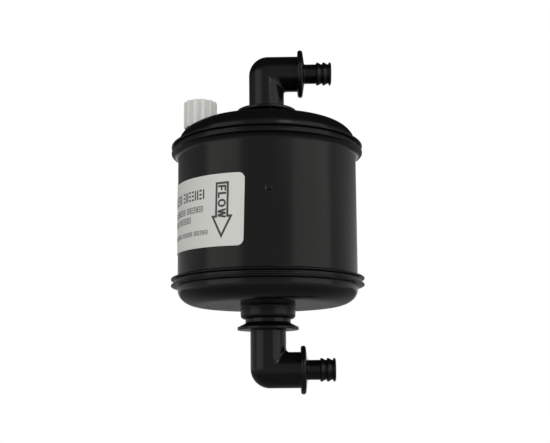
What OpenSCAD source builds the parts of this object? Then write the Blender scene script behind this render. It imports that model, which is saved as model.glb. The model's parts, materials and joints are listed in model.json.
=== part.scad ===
// Disposable capsule filter: a welded housing round a pleated element, with two swivel elbows and a vent.
// Millimetres. The capsule's axis is Z, flow runs downwards, and the origin is the middle of the wall.

/* [Housing] */
// Outside diameter of the housing wall
housing_od = 58; // [52:0.5:70]
// Wall thickness of the housing and of both caps
wall = 2; // [1.6:0.1:2.4]
// Distance between the two weld planes
weld_span = 43.2; // [38:0.2:70]
// Diameter of the gate mark on the front of the wall
gate_d = 1.3; // [0.8:0.1:2]
// Depth of the gate mark
gate_depth = 0.3; // [0.1:0.05:0.5]
// Height of the gate mark above the middle
gate_z = 2.7; // [-8:0.1:8]
// Direction of the gate mark round the axis, in degrees
gate_angle = -87.5; // [-100:0.5:-60]

/* [Weld flanges] */
// How far a lip stands out from the wall
lip_reach = 2.15; // [1.4:0.05:3.5]
// Thickness of a lip at its root
lip_root = 0.95; // [0.7:0.05:1.2]
// Thickness of a lip at its rim
lip_rim = 0.5; // [0.3:0.05:0.6]
// Gap between the two lips of a flange
lip_gap = 1.1; // [0.6:0.1:1.6]
// How far the weld bead between the lips stands out from the wall
bead_reach = 0.8; // [0.4:0.1:1.2]
// Fillet under the housing's upper lip
upper_fillet = 1.9; // [0.5:0.1:2.2]
// Fillet above the housing's lower lip
lower_fillet = 0.5; // [0.3:0.1:1.2]
// Length of the ring on each cap that plugs into the housing
register_len = 2; // [1:0.1:3]
// Wall of that ring
register_wall = 0.9; // [0.6:0.1:1.2]
// Radial clearance of that ring in the housing
register_clear = 0.1; // [0.05:0.01:0.2]

/* [Caps] */
// Height of the top cap above its weld plane
top_rise = 7.65; // [7.5:0.05:14]
// Radial run of the top cap's rounded shoulder
top_shoulder_run = 6.8; // [5:0.1:10]
// Height of the top cap's rounded shoulder
top_shoulder_h = 6; // [3.5:0.1:6]
// Depth of the bottom cap below its weld plane
bottom_drop = 7.45; // [6.6:0.05:14]
// Radial run of the bottom cap's rounded shoulder
bottom_shoulder_run = 7; // [5:0.1:10]
// Height of the bottom cap's rounded shoulder
bottom_shoulder_h = 5; // [3:0.1:5]

/* [Ports] */
// Outside diameter of the port bosses
boss_od = 17.7; // [17:0.1:20]
// Height of the inlet boss above the top cap
inlet_boss_h = 2.6; // [1.6:0.05:5]
// Height of the outlet boss below the bottom cap
outlet_boss_h = 4.2; // [3.8:0.05:6]
// Rounding of the rim of a boss
boss_round = 1.3; // [0.3:0.1:1.4]
// Fillet at the root of a boss
boss_fillet = 0.7; // [0.3:0.1:1]
// Length of the bore in which a spigot turns
port_bore_len = 6.75; // [6.3:0.05:8]
// Radial clearance of a spigot in its bore
spigot_clear = 0.04; // [0.02:0.01:0.08]

/* [Elbows] */
// Outside diameter of the spigot
spigot_od = 14.6; // [14:0.1:15]
// Length of bare neck between the boss and the stop disc
neck_len = 1.3; // [0.8:0.05:3]
// Diameter of the stop disc
disc_od = 19.8; // [18:0.1:24]
// Thickness of the stop disc at its root
disc_t = 2.2; // [1.6:0.1:3]
// Thickness of the stop disc at its rim
disc_rim_t = 0.9; // [0.6:0.05:1.2]
// Outside diameter of the elbow's tube
tube_od = 11.5; // [10.5:0.05:12.5]
// Distance from the stop disc to the hose axis
leg_len = 12.8; // [12:0.05:20]
// Diameter of the passage in the elbow's tube
passage_d = 7.2; // [6:0.1:8]
// Height of the snap lip at the end of the spigot
snap_lip = 0.45; // [0.3:0.05:0.6]
// Length of the snap lip
snap_len = 0.8; // [0.6:0.05:1]
// Axial play of the snap lip behind its bore
snap_play = 0.2; // [0.1:0.05:0.3]
// Width of the slots that let the spigot's end flex
slot_w = 1; // [0.6:0.1:1.4]
// Length of those slots
slot_len = 3; // [2.4:0.1:3.2]

/* [Hose tails] */
// Distance from the capsule's axis to the hose flange
flange_x = 10.3; // [9:0.1:14]
// Diameter of the hose flange
flange_od = 15.5; // [14:0.1:18]
// Thickness of the hose flange at its root
flange_t = 2.25; // [1.5:0.05:3]
// Thickness of the hose flange at its rim
flange_rim_t = 1.6; // [1.2:0.05:2]
// Rounding of the hose flange's rim
flange_round = 0.75; // [0.2:0.05:0.8]
// Diameter of the hose tail between its crests
tail_root_d = 6.35; // [6:0.05:6.6]
// Diameter of the hose tail over its crests
tail_crest_d = 7.55; // [7:0.05:8]
// Length of the hose tail beyond the flange
tail_len = 8.9; // [8.6:0.05:16]
// Distance from one crest to the next
crest_pitch = 2.05; // [1.9:0.05:2.6]
// Width of the land on each crest
crest_land = 0.4; // [0.2:0.05:0.6]
// Length of the ramp from a crest towards the tip
crest_ramp = 1.1; // [0.6:0.05:1.2]
// Length of the steep back of a crest
crest_back = 0.25; // [0.1:0.05:0.3]
// Length of the chamfer at the tip
tip_chamfer = 0.3; // [0.2:0.05:0.6]
// Diameter of the hole through the hose tail
tail_bore_d = 4.4; // [3.6:0.1:4.6]

/* [O-rings] */
// Diameter of the O-rings' section
ring_section = 1.2; // [0.9:0.05:1.3]
// Width of the groove that holds an O-ring
ring_groove_w = 1.6; // [1.4:0.05:1.8]
// Distance from the rim of the boss to the middle of the groove
ring_depth = 2.2; // [1.8:0.05:2.4]
// Clearance of an O-ring above its groove and in its bore
ring_clear = 0.03; // [0.02:0.01:0.05]

/* [Vent] */
// Distance of the vent's axis from the outside of the housing wall
vent_inset = 7.1; // [6.4:0.1:8.5]
// Diameter of the boss under the vent cap
vent_boss_od = 9.8; // [9:0.1:10.2]
// Height of that boss above the top cap's flat
vent_boss_h = 0.5; // [0.3:0.1:2]
// Outside diameter of the vent spout
spout_od = 6.4; // [5.6:0.1:6.6]
// Length of the vent spout
spout_len = 6.4; // [4:0.1:9]
// Diameter of the vent hole
vent_bore_d = 2.2; // [1.6:0.1:3]
// Diameter of the vent cap over its ridges
vent_cap_od = 10.9; // [10.3:0.1:12]
// Number of flutes round the vent cap
flute_count = 12; // [8:1:16]
// Depth of a flute
flute_depth = 0.5; // [0.3:0.05:0.7]
// Radius of the tool that cuts a flute
flute_r = 1; // [0.8:0.05:1.1]
// Thickness of the vent cap's top
vent_cap_top = 1.3; // [1:0.1:2]
// Chamfer round the vent cap's top
vent_cap_chamfer = 0.5; // [0.2:0.05:0.8]
// Gap under the vent cap's skirt when it is closed
vent_cap_gap = 0.1; // [0.05:0.05:0.3]
// Radial room for the thread between the spout and the vent cap
thread_room = 0.4; // [0.3:0.05:0.5]
// Thickness of the vent seal
seal_t = 1; // [0.6:0.1:1.5]
// Clearance round the vent seal
seal_clear = 0.05; // [0.03:0.01:0.1]

/* [Filter element] */
// Gap between the element's cage and the housing
annulus = 3.5; // [3:0.1:5]
// Space between the inlet spigot and the element
inlet_space = 3.9; // [2:0.1:8]
// Height of the seat that carries the element
seat_h = 4.1; // [2.5:0.1:6]
// Wall of that seat
seat_wall = 1.5; // [1:0.1:2]
// Clearance between the snap lip and the seat
seat_clear = 0.4; // [0.3:0.05:0.6]
// Thickness of the element's end plates
plate_t = 2; // [1.2:0.1:3]
// Height of the rims on the end plates
rim_h = 2.5; // [1.5:0.1:4]
// Wall of those rims
rim_wall = 0.8; // [0.6:0.1:1.2]
// Clearance between the pieces of the element
element_clear = 0.1; // [0.05:0.01:0.15]
// Length of the spigot under the lower end plate
plate_spigot_len = 1.5; // [0.8:0.1:2]
// Diameter of the hole in the lower end plate
outlet_hole_d = 13; // [10:0.1:14]
// Wall of the outer cage
cage_wall = 1; // [0.8:0.1:1.4]
// Number of windows round the cage
cage_columns = 10; // [6:1:12]
// Number of rows of windows in the cage
cage_rows = 5; // [3:1:6]
// Width of the bars of the cage
cage_bar = 2; // [1.5:0.1:3]
// Outside diameter of the inner core
core_od = 18; // [16:0.1:20]
// Wall of the inner core
core_wall = 1.4; // [1:0.1:2]
// Diameter of the holes in the core
core_hole_d = 2.4; // [1.5:0.1:3]
// Number of rows of holes in the core
core_rows = 9; // [5:1:9]
// Number of pleats
pleat_count = 24; // [16:1:24]
// Thickness of each of the three pleated layers
layer_t = 0.3; // [0.2:0.02:0.3]
// Half width of the outer folds
outer_fold = 1.7; // [1.2:0.05:2]
// Half width of the gap at the inner folds
inner_fold = 0.2; // [0.1:0.05:0.25]

/* [Label] */
// Height of the label
label_h = 22; // [15:0.1:28]
// Length of the label round the wall
label_len = 78.6; // [40:0.2:90]
// Radius of the label's corners
label_corner = 2; // [1:0.1:4]
// Thickness of the label
label_t = 0.12; // [0.08:0.01:0.3]
// Film of adhesive under the label
label_glue = 0.03; // [0.02:0.01:0.05]
// Direction of the label's middle round the axis, in degrees
label_angle = 180; // [150:1:210]
// Height of the label's middle
label_z = -1.55; // [-4:0.05:4]
// Slope at which the label was stuck on, in degrees
label_tilt = 1.5; // [-3:0.1:3]

/* [Hidden] */
$fn = 96;

// Steps in a quarter turn of a profile's rounding
arc_steps = 10;
// Overlap that lets a cut pass clear of a face
past = 1;
// Least flat that is left on the rim of a boss
rim_land = 0.2;
// Number of slots that split the end of a spigot
slot_count = 4;
// Number of crests on a hose tail
crest_count = 3;
// Number of holes in each row of the core
core_columns = 6;

wall_r = housing_od / 2;
bore_r = wall_r - wall;
lip_r = wall_r + lip_reach;
bead_r = wall_r + bead_reach;
weld_z = weld_span / 2;
top_face_z = weld_z + top_rise;
bottom_face_z = -weld_z - bottom_drop;
inlet_boss_z = top_face_z + inlet_boss_h;
outlet_boss_z = bottom_face_z - outlet_boss_h;

spigot_r = spigot_od / 2;
port_bore_r = spigot_r + spigot_clear;
snap_start = port_bore_len + snap_play;
spigot_end = snap_start + snap_len;
disc_face = neck_len + disc_t;
hose_axis = disc_face + leg_len;
tube_r = tube_od / 2;
passage_r = passage_d / 2;
groove_r = spigot_r + spigot_clear - 2 * ring_clear - ring_section;
ring_mid_r = groove_r + ring_clear + ring_section / 2;
tail_start = flange_x + flange_t;
tail_tip = tail_start + tail_len;
last_crest = tail_tip - tip_chamfer;

vent_offset = wall_r - vent_inset;
spout_base_z = top_face_z + vent_boss_h;
spout_top_z = spout_base_z + spout_len;
seal_z = spout_top_z + seal_clear;
vent_ceiling_z = seal_z + seal_t + seal_clear;
vent_cap_base_z = spout_base_z + vent_cap_gap;
vent_cap_top_z = vent_ceiling_z + vent_cap_top;
vent_cavity_r = spout_od / 2 + thread_room;

seat_r = spigot_r + snap_lip + seat_clear;
seat_z = bottom_face_z + wall + seat_h;
element_top_z = inlet_boss_z - spigot_end - inlet_space;
pack_bottom_z = seat_z + plate_t;
pack_top_z = element_top_z - plate_t;
pack_h = pack_top_z - pack_bottom_z;
cage_r = bore_r - annulus;
pleat_outer_r = cage_r - cage_wall - element_clear;
pleat_inner_r = core_od / 2 + element_clear;
rim_r = cage_r + element_clear + rim_wall;

housing_black = "#1d1d1f";
elbow_black = "#18181a";
rubber_black = "#0f0f10";
vent_white = "#d9dad6";
label_white = "#e4e4dc";
element_white = "#ecebe4";
medium_white = "#f6f4ec";

// Points along an elliptical arc from angle a to angle b
function arc(cx, cy, rx, ry, a, b) = [
    for (i = [0 : arc_steps])
        let (t = a + (b - a) * i / arc_steps)
        [cx + rx * cos(t), cy + ry * sin(t)]
];

// One lip in section, with its root at height z: it runs out to the rim and back to radius r
function lip(z, r) = [
    [bead_r, z],
    [lip_r, z + (lip_root - lip_rim) / 2],
    [lip_r, z + (lip_root + lip_rim) / 2],
    [r, z + lip_root]
];

// Housing wall: a tube with a lip just inside each weld plane
module housing_body() {
    lip_z = weld_z - lip_gap / 2 - lip_root;
    upper = [for (p = lip(0, wall_r + upper_fillet)) [p[0], weld_z - lip_gap / 2 - p[1]]];
    lower = [for (p = lip(0, wall_r + lower_fillet)) [p[0], lip_gap / 2 + p[1] - weld_z]];
    color(housing_black)
    difference() {
        rotate_extrude()
            polygon(concat(
                [[bore_r, -weld_z], [bead_r, -weld_z]],
                lower,
                arc(wall_r + lower_fillet, lower_fillet - lip_z, lower_fillet, lower_fillet, 270, 180),
                arc(wall_r + upper_fillet, lip_z - upper_fillet, upper_fillet, upper_fillet, 180, 90),
                [for (i = [len(upper) - 1 : -1 : 0]) upper[i]],
                [[bead_r, weld_z], [bore_r, weld_z]]
            ));
        rotate([0, 0, gate_angle])
            translate([wall_r - gate_depth, 0, gate_z])
                rotate([0, 90, 0])
                    cylinder(d = gate_d, h = gate_depth + past);
    }
}

// Closed shell of a cap on its weld plane, with a lip, a rounded shoulder and a ring for the housing's bore
module cap_shell(rise, run, shoulder) {
    register_r = bore_r - register_clear;
    register_in = register_r - register_wall;
    knee = lip_gap / 2 + lip_root;
    rotate_extrude()
        polygon(concat(
            [[register_in, -register_len], [register_r, -register_len], [register_r, 0], [bead_r, 0]],
            lip(lip_gap / 2, wall_r),
            arc(wall_r - run, rise - shoulder, run, shoulder, 0, 90),
            [[0, rise], [0, rise - wall]],
            arc(wall_r - run, rise - shoulder, run - wall, shoulder - wall, 90, 0),
            [[bore_r, knee], [register_in, knee - (bore_r - register_in)]]
        ));
}

// Boss round a port, standing on height z, with a fillet at its root and a rounded rim
module port_boss(z, h) {
    boss_r = boss_od / 2;
    round_r = min(boss_round, h - boss_fillet, boss_r - port_bore_r - rim_land);
    translate([0, 0, z])
        rotate_extrude()
            polygon(concat(
                [[0, -wall / 2], [boss_r + boss_fillet, -wall / 2], [boss_r + boss_fillet, 0]],
                arc(boss_r + boss_fillet, boss_fillet, boss_fillet, boss_fillet, 270, 180),
                arc(boss_r - round_r, h - round_r, round_r, round_r, 0, 90),
                [[0, h]]
            ));
}

// Top cap: shoulder, inlet port and vent spout
module top_cap() {
    color(housing_black)
    difference() {
        union() {
            translate([0, 0, weld_z])
                cap_shell(top_rise, top_shoulder_run, top_shoulder_h);
            port_boss(top_face_z, inlet_boss_h);
            translate([0, 0, inlet_boss_z - port_bore_len])
                cylinder(d = boss_od, h = port_bore_len - inlet_boss_h);
            translate([-vent_offset, 0, 0]) {
                translate([0, 0, top_face_z - wall * 1.25])
                    cylinder(d = vent_boss_od, h = vent_boss_h + wall * 1.25);
                translate([0, 0, spout_base_z - past])
                    cylinder(d = spout_od, h = spout_len + past);
            }
        }
        translate([0, 0, inlet_boss_z - port_bore_len - past])
            cylinder(r = port_bore_r, h = port_bore_len + 2 * past);
        translate([-vent_offset, 0, top_face_z - wall * 1.25 - past])
            cylinder(d = vent_bore_d, h = spout_top_z - top_face_z + wall * 1.25 + 2 * past);
    }
}

// Bottom cap: a bowl with the outlet port outside and the element's seat inside
module bottom_cap() {
    color(housing_black)
    difference() {
        union() {
            rotate([180, 0, 0])
                translate([0, 0, weld_z])
                    cap_shell(bottom_drop, bottom_shoulder_run, bottom_shoulder_h);
            rotate([180, 0, 0])
                port_boss(-bottom_face_z, outlet_boss_h);
            translate([0, 0, bottom_face_z + wall / 2])
                cylinder(r = seat_r + seat_wall, h = seat_z - bottom_face_z - wall / 2);
        }
        translate([0, 0, outlet_boss_z - past])
            cylinder(r = port_bore_r, h = port_bore_len + 2 * past);
        translate([0, 0, outlet_boss_z + port_bore_len])
            cylinder(r = seat_r, h = seat_z - outlet_boss_z - port_bore_len + past);
    }
}

// Spigot, neck and stop disc in section; height 0 is the rim of the boss
module spigot_profile() {
    disc_r = disc_od / 2;
    polygon([
        [0, -spigot_end],
        [spigot_r - snap_lip, -spigot_end],
        [spigot_r + snap_lip, -snap_start - snap_lip / 2],
        [spigot_r + snap_lip, -snap_start],
        [spigot_r, -snap_start],
        [spigot_r, -ring_depth - ring_groove_w / 2],
        [groove_r, -ring_depth - ring_groove_w / 2],
        [groove_r, -ring_depth + ring_groove_w / 2],
        [spigot_r, -ring_depth + ring_groove_w / 2],
        [spigot_r, neck_len],
        [disc_r - disc_rim_t / 3, disc_face - disc_rim_t],
        [disc_r, disc_face - disc_rim_t * 2 / 3],
        [disc_r, disc_face - disc_rim_t / 3],
        [disc_r - disc_rim_t / 3, disc_face],
        [0, disc_face]
    ]);
}

// Hose flange and barbed tail in section, drawn along the hose axis
module tail_profile() {
    root = tail_root_d / 2;
    crest = tail_crest_d / 2;
    flange_r = flange_od / 2;
    edge_r = min(flange_round, flange_rim_t / 2);
    teeth = [
        for (i = [crest_count - 1 : -1 : 0])
            let (x = last_crest - i * crest_pitch)
            each [
                [root, x - crest_land - crest_back],
                [crest, x - crest_land],
                [crest, x],
                i > 0 ? [root, x + crest_ramp] : [root, tail_tip]
            ]
    ];
    polygon(concat(
        [[0, flange_x]],
        arc(flange_r - edge_r, flange_x + edge_r, edge_r, edge_r, -90, 0),
        arc(flange_r - edge_r, flange_x + flange_rim_t - edge_r, edge_r, edge_r, 0, 90),
        [[root, tail_start]],
        teeth,
        [[0, tail_tip]]
    ));
}

// Quarter ball that rounds the outside of the bend
module bend_corner() {
    rotate([90, 0, 0])
        rotate([0, 0, 90])
            rotate_extrude(angle = 90)
                intersection() {
                    circle(r = tube_r);
                    translate([0, -tube_r])
                        square([tube_r, tube_od]);
                }
}

// One hose elbow, standing on the rim of its boss with the hose tail towards +X
module elbow() {
    color(elbow_black)
    difference() {
        union() {
            rotate_extrude()
                spigot_profile();
            translate([0, 0, disc_face - disc_rim_t])
                cylinder(r = tube_r, h = leg_len + disc_rim_t);
            translate([0, 0, hose_axis]) {
                bend_corner();
                rotate([0, 90, 0]) {
                    cylinder(r = tube_r, h = flange_x + flange_t / 2);
                    rotate_extrude()
                        tail_profile();
                }
            }
        }
        translate([0, 0, -spigot_end - past])
            cylinder(r = passage_r, h = hose_axis + spigot_end + past);
        translate([0, 0, hose_axis])
            sphere(r = passage_r);
        translate([0, 0, hose_axis])
            rotate([0, 90, 0]) {
                cylinder(r = passage_r, h = flange_x);
                cylinder(d = tail_bore_d, h = tail_tip + past);
            }
        for (i = [0 : slot_count - 1])
            rotate([0, 0, 45 + i * 360 / slot_count])
                translate([passage_r - past, -slot_w / 2, -spigot_end - past])
                    cube([spigot_r + snap_lip + past - passage_r + past, slot_w, slot_len + past]);
    }
}

// O-ring in its groove on a spigot
module o_ring() {
    color(rubber_black)
    translate([0, 0, -ring_depth])
        rotate_extrude()
            translate([ring_mid_r, 0])
                circle(d = ring_section, $fn = 32);
}

module inlet_elbow() {
    translate([0, 0, inlet_boss_z])
        elbow();
}

module inlet_o_ring() {
    translate([0, 0, inlet_boss_z])
        o_ring();
}

module outlet_elbow() {
    translate([0, 0, outlet_boss_z])
        rotate([180, 0, 0])
            elbow();
}

module outlet_o_ring() {
    translate([0, 0, outlet_boss_z])
        rotate([180, 0, 0])
            o_ring();
}

// Vent cap: a fluted knob with a closed top that screws over the spout
module vent_cap() {
    knob_r = vent_cap_od / 2;
    color(vent_white)
    translate([-vent_offset, 0, 0])
        difference() {
            rotate_extrude()
                polygon([
                    [vent_cavity_r, vent_cap_base_z],
                    [knob_r - vent_cap_chamfer / 2, vent_cap_base_z],
                    [knob_r, vent_cap_base_z + vent_cap_chamfer / 2],
                    [knob_r, vent_cap_top_z - vent_cap_chamfer],
                    [knob_r - vent_cap_chamfer, vent_cap_top_z],
                    [0, vent_cap_top_z],
                    [0, vent_ceiling_z],
                    [vent_cavity_r, vent_ceiling_z]
                ]);
            for (i = [0 : flute_count - 1])
                rotate([0, 0, i * 360 / flute_count])
                    translate([knob_r + flute_r - flute_depth, 0, vent_cap_base_z - past])
                        cylinder(r = flute_r, h = vent_cap_top_z - vent_cap_base_z + 2 * past, $fn = 32);
        }
}

// Soft disc in the vent cap that closes the spout
module vent_seal() {
    color(rubber_black)
    translate([-vent_offset, 0, seal_z])
        cylinder(r = vent_cavity_r - seal_clear, h = seal_t);
}

// Rim of an end plate, standing on height 0
module plate_rim() {
    rotate_extrude()
        polygon([
            [0, 0],
            [rim_r, 0],
            [rim_r, plate_t + rim_h],
            [rim_r - rim_wall, plate_t + rim_h],
            [rim_r - rim_wall, plate_t],
            [0, plate_t]
        ]);
}

// Closed end plate at the inlet end of the element
module element_top_plate() {
    color(element_white)
    translate([0, 0, element_top_z])
        rotate([180, 0, 0])
            plate_rim();
}

// Open end plate that stands on the seat and leads to the outlet
module element_bottom_plate() {
    color(element_white)
    difference() {
        union() {
            translate([0, 0, seat_z])
                plate_rim();
            translate([0, 0, seat_z - plate_spigot_len])
                cylinder(r = seat_r - element_clear, h = plate_spigot_len + plate_t / 2);
        }
        translate([0, 0, seat_z - plate_spigot_len - past])
            cylinder(d = outlet_hole_d, h = plate_spigot_len + plate_t + 2 * past);
    }
}

// Tube of the element between its end plates
module element_tube(r, t) {
    translate([0, 0, pack_bottom_z])
        difference() {
            cylinder(r = r, h = pack_h);
            translate([0, 0, -past])
                cylinder(r = r - t, h = pack_h + 2 * past);
        }
}

// Open cage round the pleats
module outer_cage() {
    window_w = 2 * PI * cage_r / cage_columns - cage_bar;
    band = (pack_h - 2 * rim_h) / cage_rows;
    color(element_white)
    difference() {
        element_tube(cage_r, cage_wall);
        for (row = [0 : cage_rows - 1], column = [0 : cage_columns - 1])
            rotate([0, 0, column * 360 / cage_columns])
                translate([cage_r - cage_wall - past, -window_w / 2, 0])
                    translate([0, 0, pack_bottom_z + rim_h + row * band + cage_bar / 2])
                        cube([cage_wall + 2 * past, window_w, band - cage_bar]);
    }
}

// Drilled core that the pleats rest on
module inner_core() {
    band = pack_h / core_rows;
    color(element_white)
    difference() {
        element_tube(core_od / 2, core_wall);
        for (row = [0 : core_rows - 1], column = [0 : core_columns / 2 - 1])
            translate([0, 0, pack_bottom_z + (row + 0.5) * band])
                rotate([90, 0, (column + 0.5 * (row % 2)) * 360 / core_columns])
                    cylinder(d = core_hole_d, h = core_od + 2 * past, center = true, $fn = 32);
    }
}

// Folded outline that lies a given depth inside the pleats' outer face
function pleat_outline(depth) = [
    for (i = [0 : pleat_count - 1])
        let (
            step = 360 / pleat_count,
            outer_r = pleat_outer_r - depth,
            inner_r = pleat_inner_r + 3 * layer_t - depth,
            outer_a = (outer_fold - depth) / outer_r * 180 / PI,
            inner_a = (inner_fold + depth) / inner_r * 180 / PI
        )
        each [
            outer_r * [cos(i * step - outer_a), sin(i * step - outer_a)],
            outer_r * [cos(i * step + outer_a), sin(i * step + outer_a)],
            inner_r * [cos((i + 0.5) * step - inner_a), sin((i + 0.5) * step - inner_a)],
            inner_r * [cos((i + 0.5) * step + inner_a), sin((i + 0.5) * step + inner_a)]
        ]
];

// One pleated layer, counted inwards from the outside
module pleated_layer(index) {
    translate([0, 0, pack_bottom_z])
        linear_extrude(pack_h)
            difference() {
                polygon(pleat_outline(index * layer_t));
                polygon(pleat_outline((index + 1) * layer_t));
            }
}

module upstream_support() {
    color(element_white)
        pleated_layer(0);
}

module filter_medium() {
    color(medium_white)
        pleated_layer(1);
}

module downstream_support() {
    color(element_white)
        pleated_layer(2);
}

// Label: a thin sheet bent round the wall, with rounded corners and a slight slope
module label() {
    inner_r = wall_r + label_glue;
    half = label_len / 2;
    flat_steps = 60;
    corner = [for (i = [0 : arc_steps]) label_corner * (1 - cos(90 * i / arc_steps))];
    along = concat(
        [for (c = corner) c - half],
        [for (i = [1 : flat_steps - 1]) (label_corner - half) * (1 - 2 * i / flat_steps)],
        [for (i = [arc_steps : -1 : 0]) half - corner[i]]
    );
    columns = len(along);
    points = [
        for (s = along)
            let (
                inset = max(0, label_corner - half + abs(s)),
                tall = label_h / 2 - label_corner + sqrt(max(0.0001, label_corner ^ 2 - inset ^ 2))
            )
            each [
                for (corner_point = [[0, -1], [1, -1], [1, 1], [0, 1]])
                    let (
                        r = inner_r + label_t * corner_point[0],
                        t = tall * corner_point[1],
                        a = label_angle + (s * cos(label_tilt) + t * sin(label_tilt)) / wall_r * 180 / PI
                    )
                    [r * cos(a), r * sin(a), label_z - s * sin(label_tilt) + t * cos(label_tilt)]
            ]
    ];
    sides = [
        for (c = [0 : columns - 2], k = [0 : 3])
            let (near = 4 * c + k, next = 4 * c + (k + 1) % 4)
            each [[near, next, next + 4], [near, next + 4, near + 4]]
    ];
    last = 4 * (columns - 1);
    color(label_white)
        polyhedron(points, concat(sides, [[3, 2, 1, 0]], [[last, last + 1, last + 2, last + 3]]));
}

housing_body();
top_cap();
bottom_cap();
inlet_elbow();
inlet_o_ring();
outlet_elbow();
outlet_o_ring();
vent_cap();
vent_seal();
element_top_plate();
element_bottom_plate();
outer_cage();
inner_core();
upstream_support();
filter_medium();
downstream_support();
label();
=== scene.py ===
# %% [markdown]
# # A capsule filter in Blender
# The object is a small disposable filter: a black welded housing with a pleated element inside, an elbow
# for a hose at each end, a white vent cap and a label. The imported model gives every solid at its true
# size. It could be shown as it is, but its edges are plain and its curves are facets. So this lesson
# dresses it: smooth surfaces worked out with numpy stand for the moulded pieces, shader nodes give each
# plastic its finish, and a plain studio shows it from the side, a little from below.

# %% Load the frame
import json
import math

import bpy
import numpy as np
from mathutils import Matrix, Vector


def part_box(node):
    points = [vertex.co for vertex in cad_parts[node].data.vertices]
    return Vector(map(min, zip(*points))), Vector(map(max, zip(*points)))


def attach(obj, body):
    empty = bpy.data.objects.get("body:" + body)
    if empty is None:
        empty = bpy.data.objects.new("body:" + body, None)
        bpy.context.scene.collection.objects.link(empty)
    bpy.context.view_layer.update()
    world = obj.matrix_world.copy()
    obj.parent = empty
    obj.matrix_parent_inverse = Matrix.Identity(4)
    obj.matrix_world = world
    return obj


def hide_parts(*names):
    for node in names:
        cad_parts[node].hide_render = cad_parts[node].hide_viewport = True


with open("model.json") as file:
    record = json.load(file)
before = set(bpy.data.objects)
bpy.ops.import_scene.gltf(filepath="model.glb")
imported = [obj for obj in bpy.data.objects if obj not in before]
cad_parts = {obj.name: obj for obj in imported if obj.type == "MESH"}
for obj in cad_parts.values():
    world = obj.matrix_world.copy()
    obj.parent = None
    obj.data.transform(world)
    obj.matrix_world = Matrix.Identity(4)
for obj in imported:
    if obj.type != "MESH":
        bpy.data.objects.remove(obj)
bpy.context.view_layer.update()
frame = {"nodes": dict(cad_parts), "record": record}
mounts = {m["name"]: m for m in frame["record"]["mounts"]}
MM = 0.001

# %% [markdown]
# ## Sizes
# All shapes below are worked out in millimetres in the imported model's frame: Z runs up the capsule's axis
# and both hose tails point towards +X. Every size could be written out again, but one that the frame can
# tell, such as the weld plane, the hose axis or the vent's place, is read from it and so can't drift away
# from the solids. The rest are the moulding's own sizes.

# %% Sizes read from the frame
def box_mm(node):
    """Lowest and highest corner of a node, in millimetres."""
    low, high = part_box(node)
    return np.array(low) / MM, np.array(high) / MM


WALL_R = mounts["housing_band"]["dims"]["r_mm"]
CREST_R = mounts["inlet_tail"]["dims"]["r_mm"]
LIP_R = box_mm("housing_body")[1][0]
WELD_Z = box_mm("housing_body")[1][2]
TAIL_TIP = box_mm("inlet_elbow")[1][0]
INLET_AXIS_Z = mounts["inlet_tail"]["pos_m"][2] / MM
VENT_LOW, VENT_HIGH = box_mm("vent_cap")
VENT_X = (VENT_LOW[0] + VENT_HIGH[0]) / 2
SPOUT_TOP = box_mm("top_cap")[1][2]
print("wall", WALL_R, "lip", round(LIP_R, 2), "weld plane", round(WELD_Z, 2), "vent at", round(VENT_X, 2))

# %% Sizes of the moulding
WALL = 2.0
EDGE = 0.18
LIP_ROOT, LIP_RIM, LIP_GAP, LIP_ROUND = 0.95, 0.44, 1.1, 0.2
BEAD_R = WALL_R + 0.8
BORE_R = WALL_R - WALL
TOP_RISE, TOP_RUN, TOP_SHOULDER = 7.65, 6.8, 6.0
BOTTOM_DROP, BOTTOM_RUN, BOTTOM_SHOULDER = 7.45, 7.0, 5.0
INLET_BOSS_H, OUTLET_BOSS_H = 2.6, 4.2
INLET_BOSS_Z = WELD_Z + TOP_RISE + INLET_BOSS_H
OUTLET_BOSS_Z = -WELD_Z - BOTTOM_DROP - OUTLET_BOSS_H
PORT_BORE_R, PORT_BORE_LEN = 7.34, 6.75
print("the bosses end at", round(INLET_BOSS_Z, 2), "and", round(OUTLET_BOSS_Z, 2))

# %% [markdown]
# ## Surfaces from arrays
# A moulded piece is mostly a section carried round an axis or along a path. It could be spun and bevelled
# with modifiers, but then every edge gets the same round and the shading is a guess. Here the section is
# a row of points, each with its own outward direction, so the shading is exact where a flat runs into a
# round. Every surface is a grid of points with one quad between four neighbours, closed where the shape
# closes.

# %% Section helpers
def bends(points, steps=6):
    """Inner corners of an open chain, each rounded to an arc; rows are (r, z, normal r, normal z).

    A corner P with radius f, between edges with outward normals n0 and n1, becomes C + s f n, where n turns
    from n0 to n1, C = P - s f (n0 + n1) / (1 + n0.n1), and s is +1 on an outside corner, -1 on an inside one.
    """
    chain = np.array([(p + (0.0,))[:3] for p in points], float)
    edge = np.diff(chain[:, :2], axis=0)
    edge /= np.linalg.norm(edge, axis=1, keepdims=True)
    normal = np.stack([edge[:, 1], -edge[:, 0]], 1)
    n0, n1 = normal[:-1], normal[1:]
    cross = n0[:, 0] * n1[:, 1] - n0[:, 1] * n1[:, 0]
    dot = (n0 * n1).sum(1)
    reach = (np.sign(cross) * chain[1:-1, 2])[:, None]
    centre = chain[1:-1, :2] - reach * (n0 + n1) / (1 + dot)[:, None]
    turn = np.arctan2(cross, dot)[:, None] * np.linspace(0, 1, steps + 1)
    side = np.stack([-n0[:, 1], n0[:, 0]], 1)
    n = n0[:, None] * np.cos(turn)[..., None] + side[:, None] * np.sin(turn)[..., None]
    p = centre[:, None] + reach[:, None] * n
    return np.concatenate([p, n], 2).reshape(-1, 4)


def quarter(cr, cz, rr, rz, start, end, facing=1, steps=24):
    """Arc of an ellipse about (cr, cz): the point is centre + (rr cos t, rz sin t), facing out or in."""
    t = np.radians(np.linspace(start, end, steps + 1))
    n = np.stack([np.cos(t) / rr, np.sin(t) / rz], 1) * facing
    n /= np.linalg.norm(n, axis=1, keepdims=True)
    return np.column_stack([cr + rr * np.cos(t), cz + rz * np.sin(t), n])


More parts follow.
